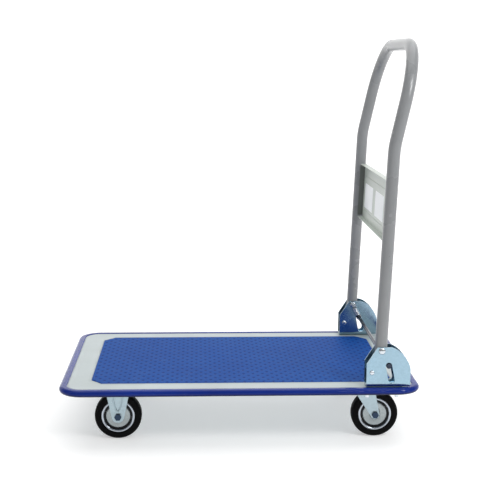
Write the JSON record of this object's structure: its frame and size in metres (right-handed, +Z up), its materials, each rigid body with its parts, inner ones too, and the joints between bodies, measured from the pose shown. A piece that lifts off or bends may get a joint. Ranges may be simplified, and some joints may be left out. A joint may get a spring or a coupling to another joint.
{
  "type": "folding platform cart",
  "caption": "Flat steel deck with a ribbed plastic mat and edge bumper on two fixed and two swivel casters, with a tubular push handle that folds down onto the deck.",
  "frame": {"origin": "floor level under the middle of the deck", "axes": "+X from the deck middle towards the push handle, +Y across the deck, +Z up"},
  "size_m": [0.74, 0.48, 0.8271],
  "materials": {
    "border": "satin pale grey paint",
    "mat": "blue pebbled vinyl",
    "bumper": "glossy blue vinyl",
    "tube": "satin grey paint",
    "panel": "satin pale grey paint",
    "zinc": "bright zinc plate with a blue tint",
    "bright": "bright zinc plate",
    "hub": "dull zinc plate",
    "rubber": "matte black rubber",
    "plug": "black plastic",
    "bush": "dark oiled steel"
  },
  "bodies": {
    "base": {"axle_bolt_front_far": "bright", "axle_bolt_front_near": "bright", "axle_bush_front_far": "bush", "axle_bush_front_near": "bush", "axle_nut_front_far": "bright", "axle_nut_front_near": "bright", "bracket_bolt_far_front": "bright", "bracket_bolt_far_rear": "bright", "bracket_bolt_near_front": "bright", "bracket_bolt_near_rear": "bright", "bracket_far": "zinc", "bracket_near": "zinc", "bracket_nut_far_front": "bright", "bracket_nut_far_rear": "bright", "bracket_nut_near_front": "bright", "bracket_nut_near_rear": "bright", "cross_rail_front": "zinc", "cross_rail_rear": "zinc", "deck_mat": "mat", "deck_pan": "border", "edge_bumper": "bumper", "fixed_fork_far": "zinc", "fixed_fork_near": "zinc", "pivot_bolt_far": "bright", "pivot_bolt_near": "bright", "pivot_nut_far": "bright", "pivot_nut_near": "bright", "release_spring_far": "bright", "release_spring_near": "bright", "side_rail_far": "zinc", "side_rail_near": "zinc", "stop_pin_far": "bright", "stop_pin_near": "bright", "swivel_kingpin_far": "bright", "swivel_kingpin_near": "bright", "swivel_plate_far": "zinc", "swivel_plate_near": "zinc", "swivel_race_far": "bright", "swivel_race_near": "bright"},
    "handle": {"handle_panel": "panel", "handle_tube": "tube", "tube_plug_far": "plug", "tube_plug_near": "plug"},
    "release_bar": {"release_bar": "zinc"},
    "swivel_fork_near": {"swivel_fork_near": "zinc", "axle_bolt_rear_near": "bright", "axle_nut_rear_near": "bright", "axle_bush_rear_near": "bush"},
    "wheel_front_near": {"wheel_rim_front_near": "hub", "wheel_tyre_front_near": "rubber"},
    "wheel_rear_near": {"wheel_rim_rear_near": "hub", "wheel_tyre_rear_near": "rubber"},
    "swivel_fork_far": {"swivel_fork_far": "zinc", "axle_bolt_rear_far": "bright", "axle_nut_rear_far": "bright", "axle_bush_rear_far": "bush"},
    "wheel_front_far": {"wheel_rim_front_far": "hub", "wheel_tyre_front_far": "rubber"},
    "wheel_rear_far": {"wheel_rim_rear_far": "hub", "wheel_tyre_rear_far": "rubber"}
  },
  "joints": [
    {"name": "handle_fold", "type": "hinge", "parent": "base", "child": "handle", "pos_m": [0.2861, 0, 0.2018], "axis": [0, -1, 0], "range_deg": [0, 101]},
    {"name": "release_bar_press", "type": "slide", "parent": "base", "child": "release_bar", "axis": [0.1888, 0, -0.982], "range_m": [0, 0.028], "stiffness_N_per_m": 800, "springref_m": -0.012, "deforming": ["release_spring_near", "release_spring_far"]},
    {"name": "swivel_turn_near", "type": "hinge", "parent": "base", "child": "swivel_fork_near", "pos_m": [0.2575, -0.1534, 0.11], "axis": [0, 0, 1], "continuous": true},
    {"name": "wheel_spin_rear_near", "type": "hinge", "parent": "swivel_fork_near", "child": "wheel_rear_near", "pos_m": [0.2845, -0.1534, 0.049], "axis": [0, 1, 0], "continuous": true},
    {"name": "wheel_spin_front_near", "type": "hinge", "parent": "base", "child": "wheel_front_near", "pos_m": [-0.2529, -0.1534, 0.049], "axis": [0, 1, 0], "continuous": true},
    {"name": "swivel_turn_far", "type": "hinge", "parent": "base", "child": "swivel_fork_far", "pos_m": [0.2575, 0.1534, 0.11], "axis": [0, 0, 1], "continuous": true},
    {"name": "wheel_spin_rear_far", "type": "hinge", "parent": "swivel_fork_far", "child": "wheel_rear_far", "pos_m": [0.2845, 0.1534, 0.049], "axis": [0, 1, 0], "continuous": true},
    {"name": "wheel_spin_front_far", "type": "hinge", "parent": "base", "child": "wheel_front_far", "pos_m": [-0.2529, 0.1534, 0.049], "axis": [0, 1, 0], "continuous": true}
  ]
}
